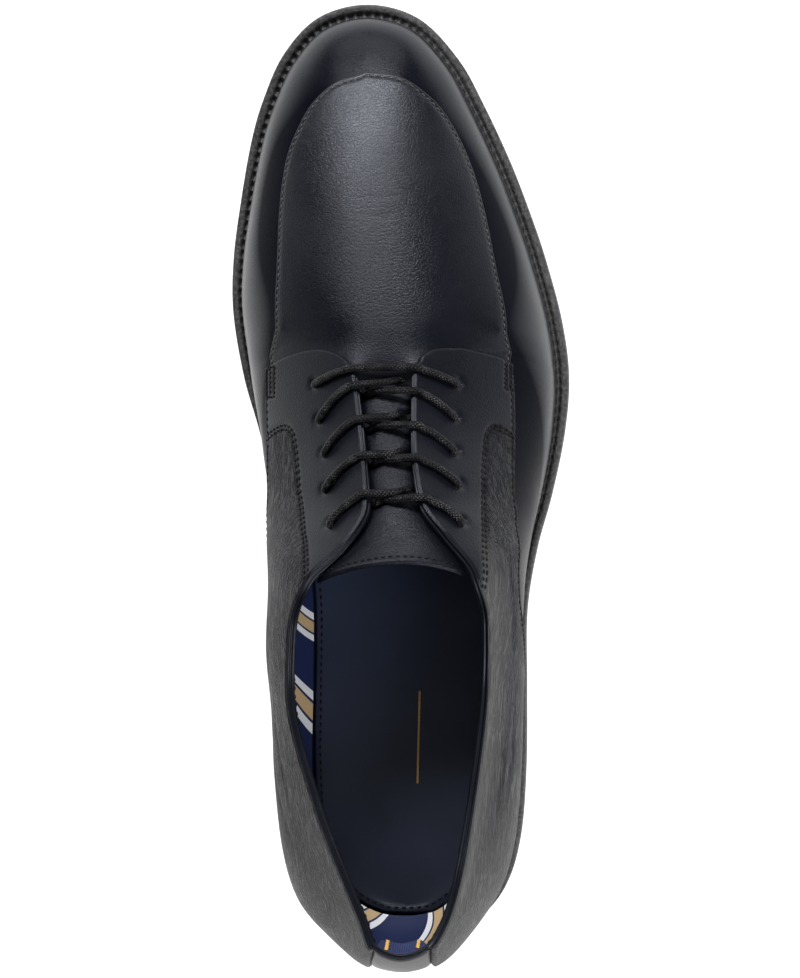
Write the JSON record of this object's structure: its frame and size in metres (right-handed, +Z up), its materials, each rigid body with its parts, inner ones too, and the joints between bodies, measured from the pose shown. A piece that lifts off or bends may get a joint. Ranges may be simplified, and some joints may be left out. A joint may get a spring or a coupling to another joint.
{
  "type": "dress shoe",
  "caption": "Black leather derby dress shoe for the right foot, with an apron front, open lacing, a welted sole and a low heel; hollow, open at the collar.",
  "frame": {"origin": "middle of the shoe's box at the floor", "axes": "+X to the outer side of the foot, +Y to the toe, +Z up"},
  "size_m": [0.1086, 0.3026, 0.0967],
  "materials": {
    "upper_leather": "black calf leather with a fine grain and a soft polish",
    "sole_rubber": "matt black",
    "welt_rubber": "matt black, finely stippled rim with a notched row",
    "sock_leather": "matt dark navy",
    "lace_cord": "round waxed braid, black with pale flecks",
    "tab_ribbon": "woven navy ribbon"
  },
  "bodies": {
    "root": {"upper": "upper_leather", "apron": "upper_leather", "quarter_lateral": "upper_leather", "quarter_medial": "upper_leather", "heel_strip": "upper_leather", "tongue": "upper_leather", "outsole": "sole_rubber", "heel": "sole_rubber", "welt": "welt_rubber", "insole": "sock_leather", "lace_row_1": "lace_cord", "lace_row_2": "lace_cord", "lace_row_3": "lace_cord", "lace_row_4": "lace_cord", "lace_row_5": "lace_cord", "pull_tab": "tab_ribbon"}
  },
  "joints": []
}
